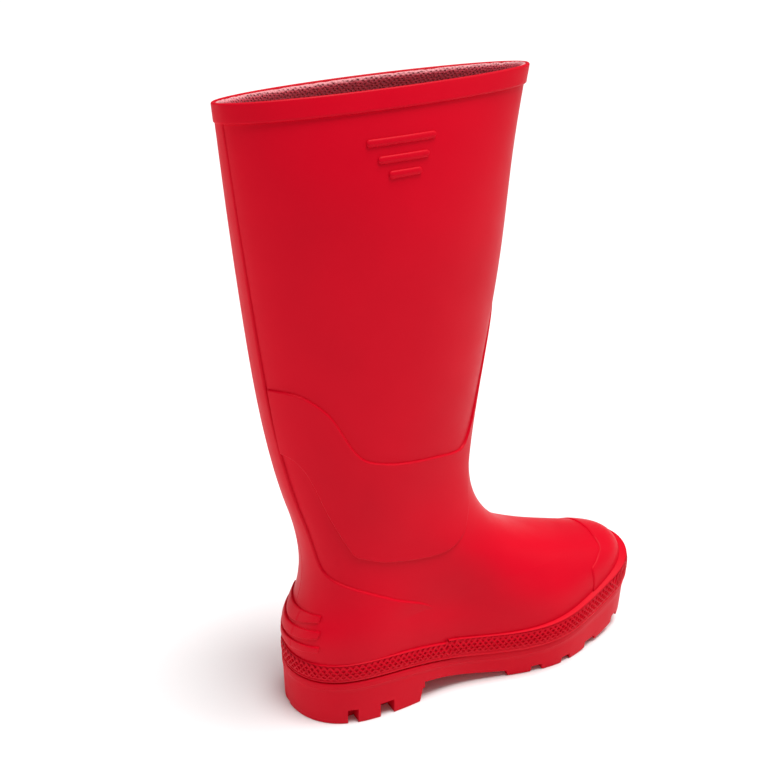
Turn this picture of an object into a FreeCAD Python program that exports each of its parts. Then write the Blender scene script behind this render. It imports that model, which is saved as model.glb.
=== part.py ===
"""Rubber rain boot, right foot: a knee-height moulded boot with a knit lining and a block heel.

Axes: +X to the toe, +Y to the big-toe side, +Z up, millimetres.
The design is laid out with X = 0 at the back of the heel and is centred on the origin at the end.
"""
import FreeCAD
import Part
import math
import os

V = FreeCAD.Vector

# ---- driving dimensions -------------------------------------------------------------------
SOLE_LENGTH = 276.0
UPPER_WALL = 2.2          # moulded wall of leg and foot
LINING_WALL = 1.0         # knit sock
PLY_GAP = 0.12            # clearance between pieces of the same body
SADDLE_RAISE = 1.1        # thickness of the ankle saddle
COUNTER_RAISE = 1.3       # thickness of the backstay and heel counter
TOE_CAP_RAISE = 1.0
BAND_RAISE = 1.2          # thickness of the cuff at the top
BAND_HEIGHT = 10.7
HEEL_BREAST = 84.5        # front face of the heel block
HEEL_SLOTS = ((29.0, 36.0), (51.6, 61.8))
HEEL_SLOT_HEIGHT = 11.0
TREAD_START = 151.0       # back edge of the first forefoot lug
TREAD_GAPS = ((168.5, 177.5), (194.0, 202.5), (218.5, 230.5), (250.0, 257.5))
TREAD_DEPTH = 4.5
FOXING_SPLIT = 105.0      # where the low heel strip steps up to the tall forefoot strip
FOXING_HEEL = 14.3
FOXING_FORE = 16.7
FOOTBED_THICK = 5.0
FOOTBED_LIFT_GAP = 0.5    # clearance all round the loose footbed

# Stations along a section, from its back end (0) to its front end (1), at which half-widths are given.
STATIONS = (0.0, 0.12, 0.25, 0.42, 0.6, 0.72, 0.88, 1.0)

# Sections of the upper from the feather line up: back x, z; front x, z; arch; outer side; inner side.
# The half-width at a station s is the number times 2 sqrt(s (1 - s)), so equal numbers give an ellipse.
SECTIONS = (
    (5.0, 33.0, 271.0, 44.0, 1.0, (74, 60, 47, 40, 50, 55.5, 57, 70), (66, 52, 41, 31, 36, 46, 56, 68)),
    (3.5, 60.0, 268.0, 63.0, 0.7, (74, 60, 47, 40, 49, 54, 55, 62), (66, 52, 41, 32, 36, 45, 53, 60)),
    (11.0, 78.0, 254.0, 73.5, 0.4, (70, 57, 44, 38, 46, 48, 48, 50), (63, 51, 41, 32, 34, 40, 44, 46)),
    (16.5, 98.0, 221.0, 81.5, -0.3, (62, 50, 41, 37, 39, 39, 38, 38), (58, 48, 40, 34, 34, 34, 34, 34)),
    (16.6, 120.0, 172.0, 100.0, -0.7, (54, 44, 38, 35, 35, 34.5, 34, 34), (52, 44, 37, 33, 33, 32.5, 32, 32)),
    (12.2, 144.0, 142.5, 133.0, -0.4, (45, 40, 36, 35, 34, 34, 34, 34), (45, 40, 36, 34, 33, 33, 33, 33)),
    (5.7, 168.0, 136.8, 172.0, 0.0, (38, 37, 36, 36, 35, 35, 35, 35), (38, 37, 36, 36, 35, 35, 35, 35)),
    (-3.6, 220.0, 142.2, 226.0, 0.0, (39,) * 8, (39,) * 8),
    (-10.8, 290.0, 153.1, 298.0, 0.0, (42,) * 8, (42,) * 8),
    (-15.6, 350.0, 160.0, 360.0, 0.0, (38,) * 8, (38,) * 8),
    (-18.8, 400.5, 169.5, 413.0, 0.0, (26.5,) * 8, (26.5,) * 8),
)
RIM = 1.0

# Outline of the sole edge seen from above, as half-widths at the stations.
SOLE_OUTER = (79, 64, 50.4, 42.8, 53, 59.2, 61.5, 77)
SOLE_INNER = (71, 56, 44.5, 34.5, 39.5, 50, 61, 75)


def spread(a, b, n):
    return [a + (b - a) * i / (n - 1) for i in range(n)]


class Spline:
    """Natural cubic spline through scalar values."""

    def __init__(self, xs, ys):
        self.xs, self.ys = list(xs), list(ys)
        n = len(xs)
        a, b, c, d = [0.0] * n, [1.0] * n, [0.0] * n, [0.0] * n
        for i in range(1, n - 1):
            h0, h1 = xs[i] - xs[i - 1], xs[i + 1] - xs[i]
            a[i], b[i], c[i] = h0, 2 * (h0 + h1), h1
            d[i] = 6 * ((ys[i + 1] - ys[i]) / h1 - (ys[i] - ys[i - 1]) / h0)
        for i in range(1, n):
            w = a[i] / b[i - 1]
            b[i] -= w * c[i - 1]
            d[i] -= w * d[i - 1]
        self.m = [0.0] * n
        for i in range(n - 2, 0, -1):
            self.m[i] = (d[i] - c[i] * self.m[i + 1]) / b[i]

    def __call__(self, x):
        xs, ys, m = self.xs, self.ys, self.m
        i = 0
        while i < len(xs) - 2 and x > xs[i + 1]:
            i += 1
        h = xs[i + 1] - xs[i]
        p, q = (xs[i + 1] - x) / h, (x - xs[i]) / h
        return p * ys[i] + q * ys[i + 1] + ((p**3 - p) * m[i] + (q**3 - q) * m[i + 1]) * h * h / 6


# Height of the groove under the foxing: level heel, low waist and ball, sprung toe.
FEATHER = Spline((0.0, 0.25, 0.45, 0.72, 1.0), (33.0, 33.0, 24.4, 25.5, 44.0))


def feather_z(x):
    return FEATHER(min(max(x / SOLE_LENGTH, 0.0), 1.0))


def make_upper():
    """Splines over v (0 feather line, 1 rim) for every section number."""
    vs = [i / (len(SECTIONS) - 1) for i in range(len(SECTIONS))]
    ends = [Spline(vs, [s[k] for s in SECTIONS]) for k in range(5)]
    outer = [Spline(vs, [s[5][k] for s in SECTIONS]) for k in range(8)]
    inner = [Spline(vs, [s[6][k] for s in SECTIONS]) for k in range(8)]
    return ends, outer, inner


ENDS, OUTER, INNER = make_upper()
CACHE = {}


def section(v):
    v = round(v, 6)
    if v not in CACHE:
        CACHE[v] = ([e(v) for e in ENDS], Spline(STATIONS, [w(v) for w in OUTER]),
                    Spline(STATIONS, [w(v) for w in INNER]))
    return CACHE[v]


def upper_point(t, v):
    """Point on the outside of the plain upper; t runs round from the back seam along the outer side."""
    (xb, zb, xf, zf, arch), outer, inner = section(v)
    t = t % 1.0
    s, k = math.sin(math.pi * t) ** 2, math.sin(2 * math.pi * t)
    if arch > 0:
        lift = (FEATHER(s) - (33.0 + 11.0 * s)) * arch
    else:
        lift = -arch * 14.0 * math.sin(math.pi * s)
    return V(xb + (xf - xb) * s, -k * (outer(s) if k > 0 else inner(s)), zb + (zf - zb) * s + lift)


def upper_normal(t, v):
    dt, dv = 0.004, 0.006
    v0, v1 = max(v - dv, 0.0), min(v + dv, 1.0)
    along = upper_point(t + dt, v) - upper_point(t - dt, v)
    up = upper_point(t, v1) - upper_point(t, v0)
    n = along.cross(up)
    return n / n.Length


def upper_offset(t, v, off):
    return upper_point(t, v) + upper_normal(t, v) * off


def v_at_height(t, z):
    lo, hi = 0.0, 1.0
    for _ in range(34):
        mid = (lo + hi) / 2
        if upper_point(t, mid).z < z:
            lo = mid
        else:
            hi = mid
    return (lo + hi) / 2


def poles_through(points):
    """Poles, multiplicities and knots of the even-stepped cubic curve through a row of points."""
    curve = Part.BSplineCurve()
    curve.interpolate(Points=points, Parameters=spread(0.0, 1.0, len(points)))
    return curve.getPoles(), curve.getMultiplicities(), curve.getKnots(), curve.Degree


def net(rows):
    """Smooth surface through a net of points; neighbouring nets with a common edge row match exactly."""
    across = [poles_through(row) for row in rows]
    along = [poles_through([a[0][j] for a in across]) for j in range(len(across[0][0]))]
    poles = [[along[j][0][i] for j in range(len(along))] for i in range(len(along[0][0]))]
    surface = Part.BSplineSurface()
    surface.buildFromPolesMultsKnots(poles, along[0][1], across[0][1], along[0][2], across[0][2],
                                     False, False, along[0][3], across[0][3])
    return surface


def block(outer_rows, inner_rows, closed=False):
    """Solid between two nets of points; closed nets are given as two halves that share their ends."""
    faces = []
    halves = zip(outer_rows, inner_rows) if closed else ((outer_rows, inner_rows),)
    for out, inn in halves:
        so, si = net(out), net(inn)
        u0, u1, w0, w1 = so.bounds()
        a0, a1, b0, b1 = si.bounds()
        faces += [so.toShape(), si.toShape()]
        sides = [(so.vIso(w0), si.vIso(b0)), (so.vIso(w1), si.vIso(b1))]
        if not closed:
            sides += [(so.uIso(u0), si.uIso(a0)), (so.uIso(u1), si.uIso(a1))]
        faces += [Part.makeRuledSurface(p.toShape(), q.toShape()) for p, q in sides]
    shell = Part.Compound(faces)
    shell.sewShape(0.03)
    body = Part.makeSolid(shell.Shells[0])
    if body.Volume < 0:
        body.reverse()
    return body


def ply(t0, t1, low, high, out, inn, nt=40, nv=16):
    """Patch of sheet on the upper between two v limits, which may depend on t."""
    def rows(off):
        return [[upper_offset(t, low(t) + (high(t) - low(t)) * w, off) for w in spread(0, 1, nv)]
                for t in spread(t0, t1, nt)]
    return block(rows(out), rows(inn))


def sleeve(low, high, out, inn, nt=33, nv=50):
    """Closed sheet that goes right round the leg and foot."""
    def half(t0, t1, off):
        return [[upper_offset(t, low + (high - low) * w, off) for w in spread(0, 1, nv)]
                for t in spread(t0, t1, nt)]
    return block([half(0, 0.5, out), half(0.5, 1.0, out)], [half(0, 0.5, inn), half(0.5, 1.0, inn)], True)


def sole_point(t, inset=0.0):
    """Point of the sole outline from above, moved inwards by inset."""
    def raw(u):
        s, k = math.sin(math.pi * u) ** 2, math.sin(2 * math.pi * u)
        return V(SOLE_LENGTH * s, -k * (SOLE_O(s) if k > 0 else SOLE_I(s)), 0)
    d = raw(t + 0.002) - raw(t - 0.002)
    n = V(d.y, -d.x, 0)
    n.normalize()
    return raw(t) - n * inset


SOLE_O, SOLE_I = Spline(STATIONS, SOLE_OUTER), Spline(STATIONS, SOLE_INNER)


def outline(points):
    """Closed smooth wire through points listed once round."""
    curve = Part.BSplineCurve()
    curve.interpolate(points, True)
    return Part.Wire([curve.toShape()])


def sole_prism(inset_low, z_low, inset_high, z_high, n=56):
    """Draughted slug of the sole outline between two levels."""
    wires = []
    for inset, z in ((inset_low, z_low), (inset_high, z_high)):
        wires.append(outline([sole_point(i / n, inset) + V(0, 0, z) for i in range(n)]))
    return Part.makeLoft(wires, True, True)


def profile_slab(points):
    """Straight-sided slab across the whole width from a side outline given as (x, z)."""
    wire = Part.makePolygon([V(x, -90, z) for x, z in points + [points[0]]])
    return Part.Face(wire).extrude(V(0, 180, 0))


def feather_line(x0, x1, dz, n=34):
    return [(x, feather_z(x) + dz) for x in spread(x0, x1, n)]


def save(name, shape):
    if not shape.isValid():
        shape = shape.removeSplitter() if shape.removeSplitter().isValid() else shape
    solids = shape.Solids
    PARTS[name] = solids[0] if len(solids) == 1 else Part.Compound(solids)


PARTS = {}

# ---- upper: one moulded wall from the feather line to the rim ---------------------------------
save("upper_shell", sleeve(0.0, RIM, 0.0, -UPPER_WALL))

# ---- knit sock inside the wall, ending just under the rim, and the flat piece closing its bottom ----
save("knit_lining", sleeve(0.006, 0.996, -UPPER_WALL - PLY_GAP, -UPPER_WALL - PLY_GAP - LINING_WALL))

# ---- cuff band round the top -----------------------------------------------------------------
BAND_LOW = 1.0 - BAND_HEIGHT / 540.0
save("top_band", sleeve(BAND_LOW, RIM, PLY_GAP + BAND_RAISE, PLY_GAP, 33, 5))

# ---- ankle saddle: wraps the shin and both sides, stopping at the backstay ---------------------
SADDLE_TOP = Spline((0.045, 0.08, 0.119, 0.141, 0.161, 0.176, 0.192, 0.215, 0.249, 0.323, 0.365, 0.387, 0.402, 0.418, 0.437, 0.455, 0.5),
                    (0.731, 0.731, 0.725, 0.715, 0.698, 0.676, 0.658, 0.648, 0.641, 0.631, 0.6245, 0.627, 0.638, 0.657, 0.693, 0.737, 0.768))
SADDLE_LOW = Spline((0.045, 0.075, 0.095, 0.109, 0.117, 0.123, 0.129, 0.139, 0.165, 0.19, 0.22, 0.25, 0.288, 0.338, 0.38, 0.41, 0.43, 0.452, 0.5),
                    (0.664, 0.659, 0.644, 0.614, 0.566, 0.492, 0.432, 0.405, 0.383, 0.372, 0.368, 0.374, 0.400, 0.446, 0.490, 0.540, 0.620, 0.690, 0.718))


def mirrored(curve):
    return lambda t: curve(min(t, 1.0 - t))


SADDLE = (mirrored(SADDLE_LOW), mirrored(SADDLE_TOP))
save("ankle_saddle", ply(0.058, 0.942, *SADDLE, PLY_GAP + SADDLE_RAISE, PLY_GAP, 120, 12))

# ---- backstay strip and heel counter, one overlay symmetrical about the back seam ---------------
COUNTER_EDGE = Spline((0.05, 0.18, 0.225, 0.26, 0.29, 0.315, 0.345, 0.41, 0.50, 0.60, 0.66, 0.76, 0.86, 0.97),
                      (0.206, 0.203, 0.188, 0.163, 0.138, 0.112, 0.078, 0.054, 0.053, 0.053, 0.048, 0.040, 0.036, 0.034))


def counter(v0, v1, nv):
    def rows(off):
        return [[upper_offset(COUNTER_EDGE(v) * w, v, off) for v in spread(v0, v1, nv)] for w in spread(-1, 1, 21)]
    return block(rows(PLY_GAP + COUNTER_RAISE), rows(PLY_GAP))


COUNTER_LOW = 0.055
save("heel_counter", counter(COUNTER_LOW, 0.40, 26))
save("backstay_strip", counter(0.4008, BAND_LOW - 0.002, 26))

# ---- toe cap: stiff overlay over the toes with an S-shaped back edge ---------------------------
CAP_EDGE = Spline((0.365, 0.372, 0.382, 0.401, 0.419, 0.437, 0.473, 0.5),
                  (0.075, 0.140, 0.163, 0.180, 0.194, 0.217, 0.241, 0.246))
CAP = (lambda t: v_at_height(t, feather_z(sole_point(t).x) + FOXING_FORE + 0.4), mirrored(CAP_EDGE))
save("toe_cap", ply(0.366, 0.634, *CAP, PLY_GAP + TOE_CAP_RAISE, PLY_GAP, 70, 10))

# ---- kick-off ribs: three ledges round the back of the heel for pushing the boot off ------------
# Each is deep at the back and thins to its blunt front ends, which sit a little higher.
RIB_BASE = PLY_GAP * 2 + COUNTER_RAISE
RIB_PROUD = 2.0
for name, reach, low_back, low_end, top_back, top_end in (
        ("kick_rib_upper", 0.058, 69.6, 76.6, 78.8, 81.2),
        ("kick_rib_middle", 0.064, 60.4, 66.6, 67.8, 71.6),
        ("kick_rib_lower", 0.068, 51.6, 57.6, 58.4, 61.6)):
    def rib_rows(off):
        rows = []
        for t in spread(-reach, reach, 17):
            rise = (abs(t) / reach) ** 1.4
            z0, z1 = low_back + (low_end - low_back) * rise, top_back + (top_end - top_back) * rise
            v0, v1 = v_at_height(t % 1.0, z0), v_at_height(t % 1.0, z1)
            rows.append([upper_offset(t, v, off if 0 < i < 3 else min(off, RIB_BASE + (off - RIB_BASE) * 0.55))
                         for i, v in enumerate(spread(v0, v1, 4))])
        return rows
    save(name, block(rib_rows(RIB_BASE + RIB_PROUD), rib_rows(RIB_BASE)))

# ---- three plain raised bars, each shorter than the one above, high on the outer side -----------
for name, z, x0, x1 in (("leg_bar_long", 380.5, 53.0, 95.0), ("leg_bar_middle", 371.5, 59.0, 90.5), ("leg_bar_short", 363.5, 65.0, 85.5)):
    def bar_rows(off):
        rows = []
        for x in spread(x0, x1, 9):
            s = (x + 17.5) / 184.0
            t = math.asin(math.sqrt(s)) / math.pi
            zc = z + 0.058 * (x - 74.0)
            rows.append([upper_offset(t, v_at_height(t, zz), off) for zz in spread(zc - 2.2, zc + 2.2, 4)])
        return rows
    save(name, block(bar_rows(PLY_GAP + 1.3), bar_rows(PLY_GAP)))

# ---- foxing: knurled strip that stands proud all round above the groove ---------------------------


def foxing(s_from, s_to, height, nt):
    """Strip round the edge between two lengthwise limits; s_to > 1 means round the toe."""
    if s_to > 1:
        t0 = math.asin(math.sqrt(s_from)) / math.pi
        ts = spread(t0, 1.0 - t0, nt)
    else:
        t0 = math.asin(math.sqrt(s_to)) / math.pi
        ts = spread(-t0, t0, nt)
    outer, inner = [], []
    for t in ts:
        u = t % 1.0
        p = sole_point(u)
        z0 = feather_z(p.x) + 1.3
        zs = spread(z0, z0 + height - 1.3, 4)
        outer.append([V(q.x, q.y, z) for q, z in ((sole_point(u, 0.1 + 0.9 * (k / 3.0) ** 2), zs[k]) for k in range(4))])
        row = []
        for z in zs:
            q = upper_offset(u, v_at_height(u, z), PLY_GAP)
            row.append(V(q.x, q.y, z))
        inner.append(row)
    return block(outer, inner)


SPLIT = FOXING_SPLIT / SOLE_LENGTH
save("foxing_heel", foxing(0, SPLIT, FOXING_HEEL, 41))
save("foxing_forefoot", foxing(SPLIT + 0.0015, 2, FOXING_FORE, 61))

# ---- sole unit ---------------------------------------------------------------------------------
def waist_z(x):
    """Underside of the arched waist between the breast and the first lug."""
    return WAIST(x)


def tread_z(x):
    """Ground face of the lugs: flat under the ball, rising with the toe spring."""
    return max(TREAD(x), 0.0)


WAIST = Spline((84.0, 100.0, 122.0, 140.0, 160.0), (15.4, 13.0, 8.4, 5.6, 3.6))
TREAD = Spline((150.0, 180.0, 205.0, 225.0, 245.0, 262.0, 280.0), (0.2, 0.0, 0.0, 1.6, 5.2, 10.2, 17.5))


def sole_bottom():
    """Underside of the forepart from the breast to the toe."""
    waist = [(x, waist_z(x)) for x in spread(HEEL_BREAST + 2.0, TREAD_START, 20)]
    lugs = [(x, tread_z(x)) for x in spread(TREAD_START + 0.8, 280.0, 44)]
    return waist + lugs


SLUG = sole_prism(1.2, -3.0, 0.9, 60.0)
FORE = sole_prism(3.4, -3.0, 0.9, 60.0)
heel_profile = profile_slab([(-3.0, 0.0), (HEEL_BREAST - 2.0, 0.0), (HEEL_BREAST, 10.0), (HEEL_BREAST + 1.6, 11.0),
                             (HEEL_BREAST + 1.8, 16.0), (-3.0, 16.0)])
heel = SLUG.common(heel_profile)
for x0, x1 in HEEL_SLOTS:
    cut = Part.makeBox(x1 - x0, 15.0, HEEL_SLOT_HEIGHT + 1.0, V(x0, -48.0, -1.0))
    heel = heel.cut(cut).cut(cut.mirror(V(0, 0, 0), V(0, 1, 0)))
save("heel_block", heel)

body_profile = [(-3.0, 16.0 + PLY_GAP), (HEEL_BREAST + 1.9, 16.0 + PLY_GAP)]
body_profile += sole_bottom()
body_profile += [(x, z) for x, z in reversed(feather_line(-2.0, SOLE_LENGTH + 2.0, -0.3))]
sole = FORE.common(profile_slab(body_profile))
for x0, x1 in TREAD_GAPS:
    top = tread_z((x0 + x1) / 2) + TREAD_DEPTH
    channel = Part.makeBox(x1 - x0, 160.0, top + 3.0, V(x0, -80.0, -3.0))
    sole = sole.cut(channel)
sole = sole.cut(Part.makeBox(86.0, 5.0, 30.0, V(TREAD_START, 1.5, -26.0)))
save("outsole", sole)

# ---- welt: thin lip closing the joint between sole and upper, under the foxing -------------------


def welt_half(t0, t1, outside):
    rows = []
    for t in spread(t0, t1, 37):
        edge = sole_point(t, 1.7)
        z0 = feather_z(sole_point(t).x)
        row = []
        for z in (z0 + 0.15, z0 + 0.65, z0 + 1.1):
            q = edge if outside else upper_offset(t, v_at_height(t, z), PLY_GAP)
            row.append(V(q.x, q.y, z))
        rows.append(row)
    return rows


save("welt_lip", block(*[[welt_half(0, 0.5, side), welt_half(0.5, 1.0, side)] for side in (True, False)], True))

# ---- closed bottom of the sock, lying on the sole -------------------------------------------------


def insole_plate(inset, dz, thick, x_front=SOLE_LENGTH):
    wires = []
    n = 56
    for z in (-10.0, 90.0):
        wires.append(outline([sole_point(i / n, inset) + V(0, 0, z) for i in range(n)]))
    prism = Part.makeLoft(wires, True, True)
    low = feather_line(-2.0, x_front + 2.0, dz)
    high = [(x, z + thick) for x, z in low]
    return prism.common(profile_slab(low + high[::-1]))


save("lining_sole", insole_plate(8.6, 0.05, 1.0))
save("footbed", insole_plate(10.6, 1.05 + FOOTBED_LIFT_GAP, FOOTBED_THICK))

# ---- place on the origin and write ------------------------------------------------------------------
box = FreeCAD.BoundBox()
for shape in PARTS.values():
    box.add(shape.optimalBoundingBox(True))
shift = V(-(box.XMin + box.XMax) / 2, -(box.YMin + box.YMax) / 2, -box.ZMin)
os.makedirs("parts", exist_ok=True)
for name, shape in PARTS.items():
    shape.translate(shift)
    shape.exportStep("parts/%s.step" % name)
    b = shape.optimalBoundingBox(True)
    print("%-16s valid %s solids %d vol %.1f cm3 x %.0f..%.0f y %.0f..%.0f z %.0f..%.0f" % (
        name, shape.isValid(), len(shape.Solids), shape.Volume / 1000, b.XMin, b.XMax, b.YMin, b.YMax, b.ZMin, b.ZMax))
print("shift", shift, "size", box.XLength, box.YLength, box.ZLength)
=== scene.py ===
import math
import bmesh
import bpy
import mathutils
import numpy as np
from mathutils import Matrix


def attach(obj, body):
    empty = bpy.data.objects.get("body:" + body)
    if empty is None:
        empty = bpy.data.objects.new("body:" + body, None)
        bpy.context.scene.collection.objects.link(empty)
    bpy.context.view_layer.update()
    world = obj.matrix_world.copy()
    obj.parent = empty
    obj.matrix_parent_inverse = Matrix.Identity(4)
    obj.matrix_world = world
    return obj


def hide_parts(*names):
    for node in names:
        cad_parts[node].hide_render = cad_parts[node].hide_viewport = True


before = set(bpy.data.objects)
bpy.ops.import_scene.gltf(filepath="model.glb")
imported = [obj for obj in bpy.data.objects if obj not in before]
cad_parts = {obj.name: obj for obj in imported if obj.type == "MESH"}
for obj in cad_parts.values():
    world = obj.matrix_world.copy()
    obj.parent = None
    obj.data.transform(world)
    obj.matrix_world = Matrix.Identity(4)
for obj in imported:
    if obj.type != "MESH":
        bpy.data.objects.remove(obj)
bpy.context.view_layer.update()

# ---- Leg and foot -------------------------------------------------------------------------------
# The wall of the boot is one injection moulding of red PVC rubber, about 2 mm thick, drawn off a
# steel last. Every raised part outside is moulded onto it, so the form of the last comes first.
HEEL_TO_FRAME = np.array((-127.891, 4.4435, 0.0))     # from the back of the heel to the boot's middle, mm
WALL = 2.2
LEG_RISE = 515.0                                      # millimetres of leg to one step of v near the top
STATIONS = (0.0, 0.12, 0.25, 0.42, 0.6, 0.72, 0.88, 1.0)
GIRTHS = (     # back x, z; front x, z; arch; half-widths on the outer side; on the inner side
    (5.0, 33.0, 271.0, 44.0, 1.0, (74, 60, 47, 40, 50, 55.5, 57, 70), (66, 52, 41, 31, 36, 46, 56, 68)),
    (3.5, 60.0, 268.0, 63.0, 0.7, (74, 60, 47, 40, 49, 54, 55, 62), (66, 52, 41, 32, 36, 45, 53, 60)),
    (11.0, 78.0, 254.0, 73.5, 0.4, (70, 57, 44, 38, 46, 48, 48, 50), (63, 51, 41, 32, 34, 40, 44, 46)),
    (16.5, 98.0, 221.0, 81.5, -0.3, (62, 50, 41, 37, 39, 39, 38, 38), (58, 48, 40, 34, 34, 34, 34, 34)),
    (16.6, 120.0, 172.0, 100.0, -0.7, (54, 44, 38, 35, 35, 34.5, 34, 34), (52, 44, 37, 33, 33, 32.5, 32, 32)),
    (12.2, 144.0, 142.5, 133.0, -0.4, (45, 40, 36, 35, 34, 34, 34, 34), (45, 40, 36, 34, 33, 33, 33, 33)),
    (5.7, 168.0, 136.8, 172.0, 0.0, (38, 37, 36, 36, 35, 35, 35, 35), (38, 37, 36, 36, 35, 35, 35, 35)),
    (-3.6, 220.0, 142.2, 226.0, 0.0, (39,) * 8, (39,) * 8),
    (-10.8, 290.0, 153.1, 298.0, 0.0, (42,) * 8, (42,) * 8),
    (-15.6, 350.0, 160.0, 360.0, 0.0, (38,) * 8, (38,) * 8),
    (-18.8, 400.5, 169.5, 413.0, 0.0, (26.5,) * 8, (26.5,) * 8))


def fair_curve(xs, ys):
    """A batten bent through given values: the natural cubic spline, for one value or a row of values."""
    xs, ys = np.asarray(xs, float), np.asarray(ys, float)
    rows = ys.reshape(len(xs), -1)
    h = np.diff(xs)
    spring, load = np.eye(len(xs)), np.zeros_like(rows)
    for i in range(1, len(xs) - 1):
        spring[i, i - 1], spring[i, i], spring[i, i + 1] = h[i - 1], 2 * (h[i - 1] + h[i]), h[i]
        load[i] = 6 * ((rows[i + 1] - rows[i]) / h[i] - (rows[i] - rows[i - 1]) / h[i - 1])
    bend = np.linalg.solve(spring, load)

    def value(x):
        x = np.asarray(x, float)
        i = np.clip(np.searchsorted(xs, x, side="right") - 1, 0, len(xs) - 2)
        w = h[i][..., None]
        p, q = (xs[i + 1] - x)[..., None] / w, (x - xs[i])[..., None] / w
        y = p * rows[i] + q * rows[i + 1] + ((p**3 - p) * bend[i] + (q**3 - q) * bend[i + 1]) * w * w / 6
        return y[..., 0] if ys.ndim == 1 else y
    return value


feather = fair_curve((0.0, 0.25, 0.45, 0.72, 1.0), (33.0, 33.0, 24.4, 25.5, 44.0))
levels = np.linspace(0.0, 1.0, len(GIRTHS))
last_ends = fair_curve(levels, [g[:5] for g in GIRTHS])
last_outer = fair_curve(levels, [g[5] for g in GIRTHS])
last_inner = fair_curve(levels, [g[6] for g in GIRTHS])
share = fair_curve(STATIONS, np.eye(8))


def last_point(t, v):
    """Point of the last: t runs round from the back seam by the outer side, v from the feather to the rim."""
    t, v = np.broadcast_arrays(np.asarray(t, float) % 1.0, np.clip(v, 0.0, 1.0))
    s, k = np.sin(np.pi * t) ** 2, np.sin(2 * np.pi * t)
    xb, zb, xf, zf, arch = np.moveaxis(last_ends(v), -1, 0)
    half = np.where(k > 0, (share(s) * last_outer(v)).sum(-1), (share(s) * last_inner(v)).sum(-1))
    lift = np.where(arch > 0, (feather(s) - (33.0 + 11.0 * s)) * arch, -arch * 14.0 * np.sin(np.pi * s))
    return np.stack((xb + (xf - xb) * s, -k * half, zb + (zf - zb) * s + lift), -1)


def skin(t, v, off=0.0):
    """Point standing off the last by a distance, square to it."""
    t, v, off = np.broadcast_arrays(np.asarray(t, float), np.asarray(v, float), np.asarray(off, float))
    n = np.cross(last_point(t + 0.003, v) - last_point(t - 0.003, v),
                 last_point(t, v + 0.005) - last_point(t, v - 0.005))
    return last_point(t, v) + n / np.linalg.norm(n, axis=-1, keepdims=True) * off[..., None]


def v_at(t, z):
    """How far up the last a height comes."""
    low, high = np.zeros_like(t + z), np.ones_like(t + z)
    for _ in range(26):
        mid = (low + high) / 2
        below = last_point(t, mid)[..., 2] < z
        low, high = np.where(below, mid, low), np.where(below, high, mid)
    return (low + high) / 2


def moulding(name, loops, ring=False, crease=40.0, uv=None):
    """Closed body whose cross-sections are the columns of a net of points in millimetres."""
    loops = np.asarray(loops, float)
    rows, cols = loops.shape[:2]
    index = np.arange(rows * cols).reshape(rows, cols)
    up, right = np.roll(index, -1, 0), np.roll(index, -1, 1)
    quads = np.stack((index, right, np.roll(up, -1, 1), up), -1)
    faces = (quads if ring else quads[:, :-1]).reshape(-1, 4).tolist()
    if not ring:
        faces += [index[:, 0].tolist(), index[::-1, -1].tolist()]
    mesh = bpy.data.meshes.new(name)
    mesh.from_pydata(((loops.reshape(-1, 3) + HEEL_TO_FRAME) / 1000).tolist(), [], faces)
    if uv is not None:
        layer, corner = mesh.uv_layers.new(name="cloth"), np.empty(len(mesh.loops), int)
        mesh.loops.foreach_get("vertex_index", corner)
        flat = np.asarray(uv, float).reshape(-1, 2)[corner]
        seam = (corner % cols == 0) & (np.repeat(np.arange(len(faces)), [len(f) for f in faces]) % cols == cols - 1)
        flat[seam, 0] = uv[0, -1, 0] + (uv[0, 1, 0] - uv[0, 0, 0])
        layer.data.foreach_set("uv", flat.ravel())
    return finish_mesh(name, mesh, crease)


def finish_mesh(name, mesh, crease=40.0):
    work = bmesh.new()
    work.from_mesh(mesh)
    bmesh.ops.remove_doubles(work, verts=work.verts, dist=1e-6)
    bmesh.ops.recalc_face_normals(work, faces=work.faces)
    if work.calc_volume(signed=True) < 0:
        bmesh.ops.reverse_faces(work, faces=work.faces)
    work.to_mesh(mesh)
    work.free()
    mesh.shade_smooth()
    mesh.set_sharp_from_angle(angle=math.radians(crease))
    piece = bpy.data.objects.new(name, mesh)
    bpy.context.collection.objects.link(piece)
    return piece


def fit_out(piece, material, slot, *nodes, body="boot"):
    """Gives a piece its finish and the part of the boot that it moves with and stands for."""
    if material.name not in [m.name for m in piece.data.materials if m]:
        piece.data.materials.clear()
        piece.data.materials.append(material)
    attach(piece, body)
    if nodes:
        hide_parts(*nodes)
    return piece


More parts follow.
